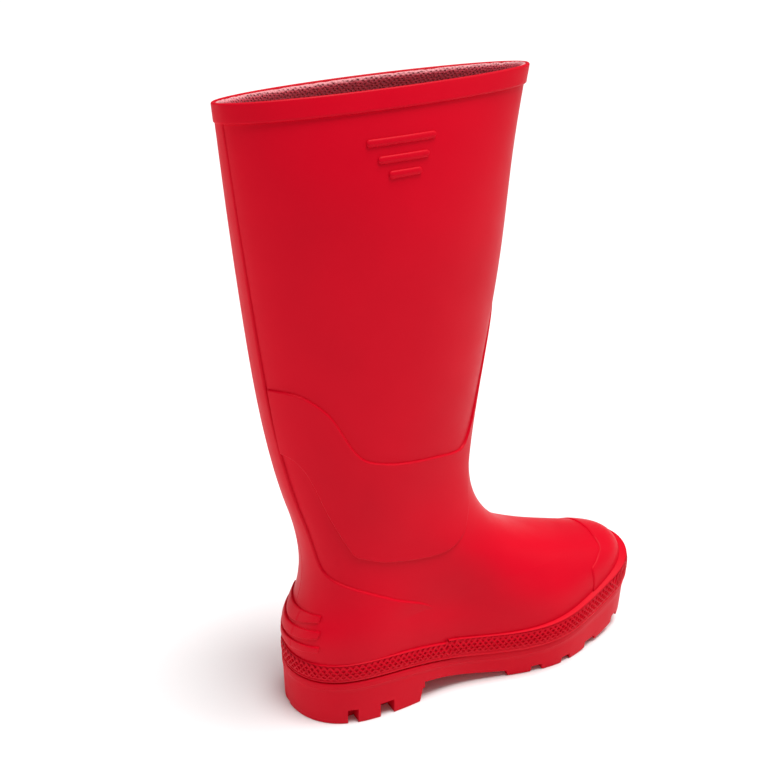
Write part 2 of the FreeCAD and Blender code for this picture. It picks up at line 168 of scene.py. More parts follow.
def moulded_skin():
    """Surface left by a blasted steel mould: faint flow marks, a fine orange peel and a patchy satin."""
    group = bpy.data.node_groups.new("moulded_skin", "ShaderNodeTree")
    for name, kind, value in (("Rubber colour", "NodeSocketColor", (0.5, 0.0, 0.0, 1)),
                              ("Peel size", "NodeSocketFloat", 900.0), ("Peel depth", "NodeSocketFloat", 0.05),
                              ("Satin", "NodeSocketFloat", 0.45)):
        group.interface.new_socket(name=name, in_out="INPUT", socket_type=kind).default_value = value
    for name, kind in (("Colour", "NodeSocketColor"), ("Roughness", "NodeSocketFloat"),
                       ("Normal", "NodeSocketVector")):
        group.interface.new_socket(name=name, in_out="OUTPUT", socket_type=kind)
    new, link = group.nodes.new, group.links.new
    given, made, place = new("NodeGroupInput"), new("NodeGroupOutput"), new("ShaderNodeTexCoord")
    flow, peel, patch = new("ShaderNodeTexNoise"), new("ShaderNodeTexNoise"), new("ShaderNodeTexNoise")
    flow.inputs["Scale"].default_value, flow.inputs["Detail"].default_value = 14.0, 3.0
    patch.inputs["Scale"].default_value, patch.inputs["Detail"].default_value = 60.0, 5.0
    peel.inputs["Detail"].default_value = 2.0
    for noise in (flow, peel, patch):
        link(place.outputs["Object"], noise.inputs["Vector"])
    link(given.outputs["Peel size"], peel.inputs["Scale"])
    tone, dull, bump = new("ShaderNodeMapRange"), new("ShaderNodeMapRange"), new("ShaderNodeBump")
    tint, gloss = new("ShaderNodeHueSaturation"), new("ShaderNodeMath")
    for node, low, high in ((tone, 0.955, 1.045), (dull, -0.035, 0.045)):
        node.inputs["From Min"].default_value, node.inputs["From Max"].default_value = 0.3, 0.7
        node.inputs["To Min"].default_value, node.inputs["To Max"].default_value = low, high
    link(flow.outputs["Fac"], tone.inputs["Value"])
    link(tone.outputs["Result"], tint.inputs["Value"])
    link(given.outputs["Rubber colour"], tint.inputs["Color"])
    link(patch.outputs["Fac"], dull.inputs["Value"])
    link(dull.outputs["Result"], gloss.inputs[0])
    link(given.outputs["Satin"], gloss.inputs[1])
    bump.inputs["Distance"].default_value = 0.0004
    link(given.outputs["Peel depth"], bump.inputs["Strength"])
    link(peel.outputs["Fac"], bump.inputs["Height"])
    for maker, socket, name in ((tint, "Color", "Colour"), (gloss, "Value", "Roughness"),
                                (bump, "Normal", "Normal")):
        link(maker.outputs[socket], made.inputs[name])
    return group


SKIN = moulded_skin()


def rubber(name, colour, peel_size, peel_depth, satin):
    material = bpy.data.materials.new(name)
    material.use_nodes = True
    nodes, link = material.node_tree.nodes, material.node_tree.links.new
    shader, surface = nodes["Principled BSDF"], nodes.new("ShaderNodeGroup")
    surface.node_tree = SKIN
    for socket, value in (("Rubber colour", colour), ("Peel size", peel_size), ("Peel depth", peel_depth),
                          ("Satin", satin)):
        surface.inputs[socket].default_value = value
    link(surface.outputs["Colour"], shader.inputs["Base Color"])
    link(surface.outputs["Roughness"], shader.inputs["Roughness"])
    link(surface.outputs["Normal"], shader.inputs["Normal"])
    shader.inputs["Specular IOR Level"].default_value = 0.09      # plasticised rubber keeps a weak shine
    return material


RED = (0.62, 0.0, 0.013, 1.0)
leg_rubber = rubber("red_leg_rubber", RED, 1100.0, 0.10, 0.44)

around = np.linspace(0.0, 1.0, 257)[:-1]
UNDER_ROLL = 0.993                                    # the wall ends inside the rolled edge of the cuff
rise = np.concatenate((np.linspace(0.0, 0.45, 110), np.linspace(0.455, UNDER_ROLL, 90)))
outside = skin(around[None], rise[:, None], 0.0)
inside = skin(around[None], np.linspace(UNDER_ROLL, 0.0, 60)[:, None], -WALL)
fit_out(moulding("leg_and_foot", np.concatenate((outside, inside)), ring=True),
        leg_rubber, "boot_rubber", "upper_shell")

# ---- Cuff ------------------------------------------------------------------------------------
# A proud band moulded round the top opening stiffens it. Its lower edge is a small square step, and
# its upper edge rolls over the wall and ends against the cut edge of the sock.
CUFF_RAISE, CUFF_DEPTH, LIP = 1.3, 10.9, 1.0          # the lip is how far the roll comes in over the wall
half_roll = (CUFF_RAISE + LIP) / 2
profile = [(CUFF_DEPTH, -0.4), (CUFF_DEPTH, 0.5), (CUFF_DEPTH - 0.12, 0.95), (CUFF_DEPTH - 0.5, CUFF_RAISE - 0.02),
           (CUFF_DEPTH - 1.2, CUFF_RAISE), (CUFF_DEPTH - 3.5, CUFF_RAISE), (4.0, CUFF_RAISE)]
profile += [(half_roll - half_roll * math.sin(a), CUFF_RAISE - half_roll + half_roll * math.cos(a))
            for a in np.linspace(0.0, math.pi, 15)]
profile += [(2.6, -1.05), (4.5, -1.05), (4.5, -0.6)]
down, off = np.array(profile).T
fit_out(moulding("cuff", skin(around[None], 1.0 - down[:, None] / LEG_RISE, off[:, None]), ring=True, crease=55.0),
        leg_rubber, "boot_rubber", "top_band")

# ---- Ankle saddle -------------------------------------------------------------------------------
# A thicker ply wraps the shin and both ankles so that the leg doesn't fold there. It is moulded in
# one with the leg, stands a millimetre or so proud with a small round shoulder, and ends at the backstay.
saddle_top = fair_curve((0.045, 0.08, 0.119, 0.141, 0.161, 0.176, 0.192, 0.215, 0.249,
                         0.323, 0.365, 0.387, 0.402, 0.418, 0.437, 0.455, 0.5),
                        (0.731, 0.731, 0.725, 0.715, 0.698, 0.676, 0.658, 0.648, 0.641,
                         0.631, 0.6245, 0.627, 0.638, 0.657, 0.693, 0.737, 0.768))
saddle_low = fair_curve((0.045, 0.075, 0.095, 0.109, 0.117, 0.123, 0.129, 0.139, 0.165, 0.19,
                         0.22, 0.25, 0.288, 0.338, 0.38, 0.41, 0.43, 0.452, 0.5),
                        (0.664, 0.659, 0.644, 0.614, 0.566, 0.492, 0.432, 0.405, 0.383, 0.372,
                         0.368, 0.374, 0.400, 0.446, 0.490, 0.540, 0.620, 0.690, 0.718))
SADDLE_RAISE, SINK = 1.35, 0.35                       # how far an overlaid ply stands out, and its edge is let in


def gap_to_line(points, line, reach=14):
    """Distance of every point of a net to an edge line that has one point for each of its columns."""
    best = np.full(points.shape[:2], 1e9)
    columns = np.arange(points.shape[1])
    for step in range(-reach, reach + 1):
        i = np.clip(columns + step, 0, len(line) - 2)
        a, ab = line[i][None], (line[i + 1] - line[i])[None]
        f = np.clip(((points - a) * ab).sum(-1) / np.maximum((ab * ab).sum(-1), 1e-9), 0.0, 1.0)[..., None]
        best = np.minimum(best, np.linalg.norm(points - a - ab * f, axis=-1))
    return best


def overlay(name, edge_a, edge_b, height, shoulder=1.3, keep=None, parting=0.0, middle=30):
    """Ply moulded on the leg between two edges of points (t, v); it rises from the leg by a round shoulder."""
    edge_a, edge_b = np.asarray(edge_a, float), np.asarray(edge_b, float)
    w = np.linspace(0.0, 1.0, 25)[:, None, None]
    cloth = edge_a[None] * (1 - w) + edge_b[None] * w
    span = np.linalg.norm(np.diff(last_point(cloth[..., 0], cloth[..., 1]), axis=0), axis=-1).sum(0)
    near = np.array((0.0, 0.15, 0.35, 0.6, 0.95, 1.4, 2.0, 2.8, 4.0, 5.6, 7.6, 10.0))[:, None] / span[None]
    near *= np.minimum(1.0, 0.40 / near[-1])
    core = near[-1] + (1 - 2 * near[-1]) * np.linspace(0.0, 1.0, middle + 2)[1:-1, None]
    if parting:
        seam = 0.5 + np.array((-0.9, -0.45, -0.2, 0.0, 0.2, 0.45, 0.9))[:, None] / span[None]
        core = np.sort(np.concatenate((core, seam)), axis=0)
    w = np.concatenate((near, core, 1 - near[::-1]))
    t, v = (edge_a[None, :, i] * (1 - w) + edge_b[None, :, i] * w for i in (0, 1))
    flat = last_point(t, v)
    gap = np.minimum(gap_to_line(flat, flat[0]), gap_to_line(flat, flat[-1]))
    gap[0] = gap[-1] = 0.0
    lift = np.sqrt(np.clip(1 - (1 - np.clip(gap / shoulder, 0, 1)) ** 2, 0, 1))
    if keep is not None:
        lift = lift * keep(t, v)
    top = -SINK + (height + SINK) * lift
    if parting:
        top -= parting * np.exp(-((w - 0.5) * span[None] / 0.28) ** 2)
    back = np.linspace(1.0, 0.0, 8)[:, None]
    tb, vb = (edge_a[None, :, i] * (1 - back) + edge_b[None, :, i] * back for i in (0, 1))
    return moulding(name, np.concatenate((skin(t, v, top), skin(tb, vb, -0.9))))


side = np.linspace(0.047, 0.953, 470)
low = np.stack((side, saddle_low(np.minimum(side, 1 - side))), -1)
high = np.stack((side, saddle_top(np.minimum(side, 1 - side))), -1)
fit_out(overlay("ankle_saddle", low, high, SADDLE_RAISE, shoulder=0.8, middle=36),
        leg_rubber, "boot_rubber", "ankle_saddle")

# ---- Backstay and heel counter -------------------------------------------------------------------
# A narrow strip runs down the back from the cuff and widens into the stiff counter that cups the
# heel. The two halves of the steel mould meet along its middle and leave a fine parting line.
BACK_RAISE, PARTING = 1.3, 0.2
BACK_SPLIT = 0.40                                     # where the counter ends and the narrow strip begins
counter_edge = fair_curve((0.05, 0.18, 0.225, 0.26, 0.29, 0.315, 0.345,
                           0.41, 0.50, 0.60, 0.66, 0.76, 0.86, 0.97),
                          (0.206, 0.203, 0.188, 0.163, 0.138, 0.112, 0.078,
                           0.054, 0.053, 0.053, 0.048, 0.040, 0.036, 0.034))


def easy(x, a, b):
    f = np.clip((x - a) / (b - a), 0.0, 1.0)
    return f * f * (3 - 2 * f)


def counter_keep(t, v):
    """The counter's front end melts into the foot."""
    away = np.minimum(t % 1.0, 1 - t % 1.0)
    front = 1 - easy(away, 0.12, 0.195)
    return front + (1 - front) * easy(v, 0.165, 0.25)


def backstay_keep(t, v):
    """The strip is thinnest where it runs up under the cuff."""
    return 1 - 0.45 * easy(v, 0.70, 0.95) + 0 * t


for name, node, v0, v1, keep, middle in (
        ("heel_counter", "heel_counter", 0.05, BACK_SPLIT, counter_keep, 34),
        ("backstay", "backstay_strip", BACK_SPLIT, 1.0 - 10.0 / LEG_RISE, backstay_keep, 8)):
    v = np.linspace(v0, v1, 200)
    fit_out(overlay(name, np.stack((-counter_edge(v), v), -1), np.stack((counter_edge(v), v), -1),
                    BACK_RAISE, keep=keep, parting=PARTING, middle=middle), leg_rubber, "boot_rubber", node)

# ---- Kick-off ribs -----------------------------------------------------------------------------
# Three solid ledges across the back of the heel give the other foot something to push down on. They
# are moulded with the counter, end bluntly, and stand a little prouder over the middle of the heel.


def ridge(name, t, z, half, proud, base, square):
    """Solid bead along a line on the leg; the lower the square value, the squarer its rounded section."""
    turn = np.linspace(0.0, math.pi, 15)[:, None]
    up = half[None] * np.sign(np.cos(turn)) * np.abs(np.cos(turn)) ** square
    out = base + proud[None] * np.sin(turn) ** square
    v = v_at(t[None] + 0 * up, z[None] + up)
    t = t[None] + 0 * up
    return moulding(name, np.concatenate((skin(t, v, out), skin(t[::-2], v[::-2], base - 0.5))), crease=60.0)


for name, reach, low_back, low_end, top_back, top_end in (
        ("kick_rib_upper", 0.058, 69.6, 76.6, 78.8, 81.2),
        ("kick_rib_middle", 0.064, 60.4, 66.6, 67.8, 71.6),
        ("kick_rib_lower", 0.068, 51.6, 57.6, 58.4, 61.6)):
    ends = (0.002, 0.005, 0.008, 0.015, 0.985, 0.992, 0.995, 0.998)
    u = np.sort(np.concatenate((np.linspace(0.0, 1.0, 121), ends)))
    blunt = np.sqrt(np.clip(1 - np.clip(1 - np.minimum(u, 1 - u) / 0.016, 0, 1) ** 2, 0.01, 1))
    t, climb = (2 * u - 1) * reach, np.abs(2 * u - 1) ** 1.4
    z0, z1 = low_back + (low_end - low_back) * climb, top_back + (top_end - top_back) * climb
    proud = 1.4 + 0.35 * (1 - easy(np.abs(t), 0.019, 0.0215))
    fit_out(ridge(name, t, (z0 + z1) / 2, (z1 - z0) / 2 * blunt, proud * blunt, BACK_RAISE - 0.1, 0.45),
            leg_rubber, "boot_rubber", name)

# ---- Leg bars ----------------------------------------------------------------------------------
# Three plain raised bars, each shorter than the one above, decorate the outer side under the cuff.
# They are cut into the mould, so they are the same rubber with softly rounded ends.
for name, z, x0, x1 in (("leg_bar_long", 380.5, 53.0, 95.0), ("leg_bar_middle", 371.5, 59.0, 90.5),
                        ("leg_bar_short", 363.5, 65.0, 85.5)):
    close = np.array((0.15, 0.4, 0.8, 1.4))
    x = np.sort(np.concatenate((np.linspace(x0, x1, 40), x0 + close, x1 - close)))
    t = np.arcsin(np.sqrt((x + 17.5) / 184.0)) / np.pi
    taper = np.sqrt(np.clip(1 - np.clip(1 - np.minimum(x - x0, x1 - x) / 2.0, 0, 1) ** 2, 0.004, 1))
    fit_out(ridge(name, t, z + 0.058 * (x - 74.0), 2.0 * taper, 1.25 * taper ** 0.5, -0.05, 0.8),
            leg_rubber, "boot_rubber", name)

# ---- Toe cap -----------------------------------------------------------------------------------
# A second thickness of rubber guards the toes. Its back edge is an S on each side and its front
# runs down behind the edge strip.
cap_edge = fair_curve((0.365, 0.372, 0.382, 0.401, 0.419, 0.437, 0.473, 0.5),
                      (0.075, 0.140, 0.163, 0.180, 0.194, 0.217, 0.241, 0.246))
toe = np.linspace(0.3652, 0.6348, 260)
cap_low = np.stack((toe, 0.045 + 0 * toe), -1)
cap_high = np.stack((toe, cap_edge(np.minimum(toe, 1 - toe))), -1)
fit_out(overlay("toe_cap", cap_low, cap_high, 0.85, shoulder=1.6, middle=26), leg_rubber, "boot_rubber", "toe_cap")

# ---- Edge strip ----------------------------------------------------------------------------------
# The foxing is a strip of sole rubber standing proud all round above the groove, low round the heel
# and taller round the forefoot. Between two plain beads it carries a raised net, and flutes at the toe.
sole_rubber = rubber("red_sole_rubber", RED, 800.0, 0.12, 0.47)
SOLE_LENGTH = 276.0
sole_outer = fair_curve(STATIONS, (79, 64, 50.4, 42.8, 53, 59.2, 61.5, 77))
sole_inner = fair_curve(STATIONS, (71, 56, 44.5, 34.5, 39.5, 50, 61, 75))
NET_PITCH, NET_SLOPE, FLUTE_PITCH, FLUTE_FROM, FACE_SUNK, GROOVE = 4.25, 1.15, 2.35, 0.40, 0.5, 1.3


def sole_edge(t, inset=0.0):
    """Plan of the sole's edge (x, y), moved inwards; t as on the last."""
    def raw(u):
        s, k = np.sin(np.pi * u) ** 2, np.sin(2 * np.pi * u)
        return np.stack((SOLE_LENGTH * s, -k * np.where(k > 0, sole_outer(s), sole_inner(s))), -1)
    t = np.asarray(t, float)
    d = raw(t + 0.002) - raw(t - 0.002)
    n = np.stack((d[..., 1], -d[..., 0]), -1) / np.linalg.norm(d, axis=-1, keepdims=True)
    return raw(t) - n * np.asarray(inset, float)[..., None], n


def strip_face(t, height, f, off=0.0):
    """Point of the strip's face at a fraction f of its height, standing off it, and its outward direction."""
    t, f, off = np.broadcast_arrays(t, f, off)
    xy, n = sole_edge(t, 0.1 + 0.9 * np.clip(f, 0, 1) ** 2 - off)
    foot = feather(np.clip(sole_edge(t)[0][..., 0] / SOLE_LENGTH, 0, 1)) + GROOVE
    z = foot + f * (height - GROOVE)
    return np.concatenate((xy, z[..., None]), -1), np.concatenate((n, 0 * n[..., :1]), -1)


def set_ridges(name, centres, outward, run, long, material):
    """Lays a short straight ridge with sloping sides on every mark of a strip, square to its face."""
    tree = bpy.data.node_groups.new(name, "GeometryNodeTree")
    tree.interface.new_socket(name="Marks", in_out="INPUT", socket_type="NodeSocketGeometry")
    sockets = {}
    sizes = ("Foot width", 0.00145), ("Crest width", 0.0006), ("Height", 0.0009), ("Length", long / 1000)
    for label, value in sizes:
        entry = tree.interface.new_socket(name=label, in_out="INPUT", socket_type="NodeSocketFloat")
        sockets[label] = entry.identifier
    tree.interface.new_socket(name="Ridges", in_out="OUTPUT", socket_type="NodeSocketGeometry")
    new, link = tree.nodes.new, tree.links.new
    given, made = new("NodeGroupInput"), new("NodeGroupOutput")
    bar, ratio, scale = new("GeometryNodeMeshCone"), new("ShaderNodeMath"), new("ShaderNodeCombineXYZ")
    square, stretch = new("GeometryNodeTransform"), new("GeometryNodeTransform")
    bar.fill_type = "NGON"
    bar.inputs["Vertices"].default_value = 4
    for label, socket in (("Foot width", "Radius Bottom"), ("Crest width", "Radius Top")):
        half = new("ShaderNodeMath")
        half.operation = "MULTIPLY"
        half.inputs[1].default_value = math.sqrt(0.5)
        link(given.outputs[label], half.inputs[0])
        link(half.outputs["Value"], bar.inputs[socket])
    link(given.outputs["Height"], bar.inputs["Depth"])
    square.inputs["Rotation"].default_value = (0.0, 0.0, math.pi / 4)
    link(bar.outputs["Mesh"], square.inputs["Geometry"])
    ratio.operation = "DIVIDE"
    link(given.outputs["Length"], ratio.inputs[0])
    link(given.outputs["Foot width"], ratio.inputs[1])
    link(ratio.outputs["Value"], scale.inputs["X"])
    scale.inputs["Y"].default_value = scale.inputs["Z"].default_value = 1.0
    link(scale.outputs["Vector"], stretch.inputs["Scale"])
    link(square.outputs["Geometry"], stretch.inputs["Geometry"])
    face, turn = new("FunctionNodeAlignEulerToVector"), new("FunctionNodeAlignEulerToVector")
    face.axis, turn.axis, turn.pivot_axis = "Z", "X", "Z"
    for label, node in (("outward", face), ("along", turn)):
        read = new("GeometryNodeInputNamedAttribute")
        read.data_type = "FLOAT_VECTOR"
        read.inputs["Name"].default_value = label
        link(read.outputs["Attribute"], node.inputs["Vector"])
    link(face.outputs["Rotation"], turn.inputs["Rotation"])
    place, real = new("GeometryNodeInstanceOnPoints"), new("GeometryNodeRealizeInstances")
    paint = new("GeometryNodeSetMaterial")
    link(given.outputs["Marks"], place.inputs["Points"])
    link(stretch.outputs["Geometry"], place.inputs["Instance"])
    link(turn.outputs["Rotation"], place.inputs["Rotation"])
    link(place.outputs["Instances"], real.inputs["Geometry"])
    link(real.outputs["Geometry"], paint.inputs["Geometry"])
    paint.inputs["Material"].default_value = material
    link(paint.outputs["Geometry"], made.inputs["Ridges"])
    marks = bpy.data.meshes.new(name + "_marks")
    marks.from_pydata(((centres + HEEL_TO_FRAME) / 1000).tolist(), [], [])
    for label, values in (("outward", outward), ("along", run)):
        layer = marks.attributes.new(label, "FLOAT_VECTOR", "POINT")
        layer.data.foreach_set("vector", values.astype(np.float32).ravel())
    holder = bpy.data.objects.new(name, marks)
    bpy.context.collection.objects.link(holder)
    modifier = holder.modifiers.new("ridges", "NODES")
    modifier.node_group = tree
    for label, value in sizes:
        modifier[sockets[label]] = value
    bpy.context.view_layer.update()
    result = bpy.data.meshes.new_from_object(holder.evaluated_get(bpy.context.evaluated_depsgraph_get()))
    holder.modifiers.clear()
    bpy.data.objects.remove(holder)
    return result


def edge_strip(name, t, height, node):
    """Plain strip with its two beads, joined with the diamond net or the flutes of its face."""
    face = [(0.0, -0.35), (0.012, -0.08), (0.035, 0.0), (0.07, 0.0), (0.09, -FACE_SUNK), (0.5, -FACE_SUNK),
            (0.93, -FACE_SUNK), (0.945, -0.1), (0.97, -0.05), (0.99, -0.25), (1.0, -0.55)]
    rows = [strip_face(t, height, f, off)[0] for f, off in face]
    inner = []
    for f in (1.0, 0.5, 0.0):
        z = strip_face(t, height, f)[0][..., 2]
        p = skin(t, v_at(t % 1.0, z), -0.5)
        inner.append(np.stack((p[..., 0], p[..., 1], z), -1))
    strip = moulding(name, np.stack(rows + inner), crease=50.0)
    steps = np.linalg.norm(np.diff(strip_face(t, height, 0.5)[0], axis=0), axis=-1)
    run = np.concatenate(((0.0,), np.cumsum(steps)))
    low, top, parts = 0.08, 0.945, [strip.data]
    lean = (top - low) * (height - GROOVE) / NET_SLOPE

    def lay(label, first, pitch, tilt, at_toe):
        at = np.arange(first, run[-1], pitch)
        toe = np.abs((np.interp(at, run, t) % 1.0) - 0.5) <= 0.5 - FLUTE_FROM
        at = at[toe if at_toe else ~toe]
        if len(at):
            foot = strip_face(np.interp(at - tilt / 2, run, t), height, low, -FACE_SUNK)[0]
            head = strip_face(np.interp(at + tilt / 2, run, t), height, top, -FACE_SUNK)[0]
            middle, n = strip_face(np.interp(at, run, t), height, 0.5, -FACE_SUNK + 0.02)
            long = np.linalg.norm(head - foot, axis=-1).mean()
            parts.append(set_ridges(name + label, middle, n, head - foot, long, sole_rubber))

    lay("_net", NET_PITCH / 2, NET_PITCH, -lean, False)
    lay("_net", NET_PITCH / 2, NET_PITCH, lean, False)
    lay("_flutes", 0.7, FLUTE_PITCH, 0.0, True)
    work = bmesh.new()
    for mesh in parts:
        work.from_mesh(mesh)
    work.to_mesh(strip.data)
    work.free()
    strip.data.set_sharp_from_angle(angle=math.radians(38))
    fit_out(strip, sole_rubber, "sole_rubber", node)


STRIPS_MEET, HEEL_STRIP, FORE_STRIP = 105.0, 14.3, 16.7        # mm from the heel, and the two heights
split = math.asin(math.sqrt(STRIPS_MEET / SOLE_LENGTH)) / math.pi
edge_strip("edge_strip_heel", np.linspace(-split, split, 191), HEEL_STRIP, "foxing_heel")
edge_strip("edge_strip_forefoot", np.linspace(split, 1 - split, 301), FORE_STRIP, "foxing_forefoot")

# ---- Welt -----------------------------------------------------------------------------------------
# A thin lip of sole rubber lies in the groove under the edge strip and closes the joint to the sole.
# It is only seen as the dark bottom of the groove, so the plain solid stays and takes the finish.
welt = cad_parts["welt_lip"]
if not welt.data.materials:
    welt.data.materials.append(sole_rubber)
for i in range(len(welt.data.materials)):
    welt.data.materials[i] = sole_rubber

# ---- Sole and heel -------------------------------------------------------------------------------
# The outsole and its heel block are moulded in the same rubber. A low rim runs round the top of the
# wall, the waist is smooth and arched, and the heel and the forepart carry deep square lugs.
HEEL_SLOTS = ((29.0, 36.0), (51.6, 61.8))
LUG_GAPS = ((168.5, 177.5), (194.0, 202.5), (218.5, 230.5), (250.0, 257.5))
LUG_DEPTH, DRAUGHT, HEEL_TOP, BREAST = 4.5, 0.35, 16.0, 86.4
waist = fair_curve((84.0, 100.0, 122.0, 140.0, 160.0), (15.4, 13.0, 8.4, 5.6, 3.6))
tread = fair_curve((150.0, 180.0, 205.0, 225.0, 245.0, 262.0, 280.0), (0.2, 0.0, 0.0, 1.6, 5.2, 10.2, 17.5))


def wall_inset(x, z):
    """How far the sole's wall stands in from its outline; it slopes in towards the ground."""
    heel, fore = 0.6 - 0.3 * (z + 3) / 63, 3.4 - 2.5 * (z + 3) / 63
    return heel + (fore - heel) * easy(x, 70.0, 130.0)


def eased_corners(points, radius):
    """Profile (x, z) with every corner cut by a small round."""
    out = [points[0]]
    for a, b, c in zip(points[:-2], points[1:-1], points[2:]):
        a, b, c = (np.array(p, float) for p in (a, b, c))
        u, w = a - b, c - b
        lu, lw = np.linalg.norm(u), np.linalg.norm(w)
        if abs(u[0] * w[1] - u[1] * w[0]) / (lu * lw) < 0.2:
            out.append(tuple(b))
            continue
        r = min(radius, lu * 0.4, lw * 0.4)
        p, q = b + u / lu * r, b + w / lw * r
        out += [tuple((1 - k) ** 2 * p + 2 * k * (1 - k) * b + k * k * q) for k in (0.0, 0.33, 0.67, 1.0)]
    return out + [points[-1]]


dense = np.linspace(0.0, 0.5, 2001)


def side_t(x, z, inner):
    """Where on the outline the wall comes to a place along the sole."""
    t = 1 - dense if inner else dense
    xs = sole_edge(t, wall_inset(SOLE_LENGTH * np.sin(np.pi * t) ** 2, 0 * t + 8.0))[0][:, 0]
    return np.interp(x, np.maximum.accumulate(xs), t)


def sole_body(name, profile, top, groove=False, slots=()):
    """Block of sole between a lower profile along its length and an upper level, with its side walls."""
    profile = np.array(profile)
    x, z = profile.T
    columns = {}
    ceiling = top(x)
    lift = np.array((0.0, 0.08, 0.25, 0.55))
    for inner in (False, True):
        t = side_t(x, z, inner)
        floor_z = z + 0 * t
        fixed = [floor_z + a for a in lift]
        if slots:
            fixed += [np.maximum(floor_z + 0.9, 4.0), 10.7 + 0 * z, 11.05 + 0 * z, 13.0 + 0 * z, ceiling]
            proud = [0.5, 0.18, 0.05, 0.0, 0.0, 0.0, 0.0, 0.0, 0.0]
        else:
            fixed += [floor_z + 0.8 + (ceiling - 5.6 - floor_z - 0.8) * g for g in (0.25, 0.5, 0.75, 1.0)]
            fixed += [ceiling - a for a in (5.2, 4.9, 2.5, 0.5, 0.12, 0.0)]
            proud = [0.5, 0.18, 0.05, 0.0, 0.0, 0.0, 0.0, 0.0, -0.15, -0.42, -0.42, -0.42, -0.2, 0.1]
        rows = []
        seam = (z > HEEL_TOP - 0.1) & (x < BREAST + 0.1)         # where the heel block joins on below
        for level, back in zip(fixed, proud):
            xy = sole_edge(t, wall_inset(x, level) + np.where(seam & (back > 0.0), 0.0, back))[0]
            for a, b in slots:
                inside_slot = (x > a + 0.01) & (x < b - 0.01) & (level < 10.9)
                deep = np.minimum(np.abs(xy[:, 1]), 33.0)
                xy[:, 1] = np.where(inside_slot, np.sign(xy[:, 1]) * deep, xy[:, 1])
            rows.append(np.concatenate((xy, level[:, None]), -1))
        columns[inner] = np.stack(rows)
    yo, yi = columns[False][0, :, 1], columns[True][0, :, 1]
    width = np.maximum(yi - yo, 1e-6)
    g = [np.clip((y - yo) / width, a, b)                         # the two lips and the floor of the long groove
         for y, a, b in ((1.5, 0.40, 0.58), (1.9, 0.41, 0.60), (6.1, 0.42, 0.68), (6.5, 0.43, 0.70))]
    shares = [g[0] / 3, g[0] / 2] + g + [g[3] + (1 - g[3]) * f for f in (0.5, 0.86)]
    under = []
    for i, f in enumerate(shares):
        p = columns[False][0] * (1 - f)[:, None] + columns[True][0] * f[:, None]
        if groove and i in (3, 4):
            cut = (x > 151.2) & (x < 237.0)
            p[:, 2] = np.where(cut, np.maximum(p[:, 2], 4.0), p[:, 2])
        under.append(p)
    over = [columns[True][-1] * (1 - f) + columns[False][-1] * f for f in (0.25, 0.5, 0.75)]
    loop = np.concatenate((columns[False][::-1], np.stack(under), columns[True], np.stack(over)))
    return moulding(name, loop, crease=32.0)


def even(a, b, step):
    return list(np.linspace(a, b, max(2, int(abs(b - a) / step) + 1)))


heel_line = [(x, 0.0) for x in list(0.68 + 8.6 * np.linspace(0, 1, 14) ** 2) + even(11.0, 28.0, 2.0)]
for a, b in HEEL_SLOTS:
    heel_line += [(x, 0.0) for x in [a, a + DRAUGHT] + even(a + 1.5, b - 1.5, 2.0) + [b - DRAUGHT, b]]
    heel_line += [(x, 0.0) for x in (even(38.0, 50.0, 2.0) if a < 40 else even(64.0, 80.0, 2.0))]
heel_line += eased_corners([(81.0, 0.0), (82.5, 0.0), (84.5, 10.0), (86.1, 11.0), (86.3, 15.7)], 0.5)
heel = sole_body("heel_block", heel_line, lambda x: HEEL_TOP + 0 * x, slots=HEEL_SLOTS)
fit_out(heel, sole_rubber, "sole_rubber", "heel_block")

under_line = [(x, HEEL_TOP) for x in list(0.68 + 8.6 * np.linspace(0, 1, 14) ** 2) + even(11.0, 86.0, 2.0)]
corners = [(BREAST, HEEL_TOP)] + [(x, float(waist(x))) for x in even(87.0, 150.2, 2.2)]
corners += [(151.0, float(tread(151.0)))]
last = 151.0
for a, b in LUG_GAPS:
    deep = float(tread((a + b) / 2)) + LUG_DEPTH
    corners += [(x, float(max(tread(x), 0.0))) for x in even(last, a, 2.2)[1:]]
    corners += [(a + DRAUGHT, deep), (b - DRAUGHT, deep), (b, float(max(tread(b), 0.0)))]
    last = b
corners += [(x, float(max(tread(x), 0.0))) for x in list(273.2 - (273.2 - last) * np.linspace(1, 0, 16)[1:] ** 2)]
fore = sole_body("outsole", under_line + eased_corners(corners, 0.6),
                 lambda x: feather(np.clip(x / SOLE_LENGTH, 0, 1)) - 0.1, groove=True)
fit_out(fore, sole_rubber, "sole_rubber", "outsole")

# ---- Knit sock ----------------------------------------------------------------------------------
# The boot is lined with a stretch knit sock pulled over the last before moulding, so it is bonded to
# the wall. It is an open eyelet knit, and its cut edge shows pale and a little ragged below the rim.


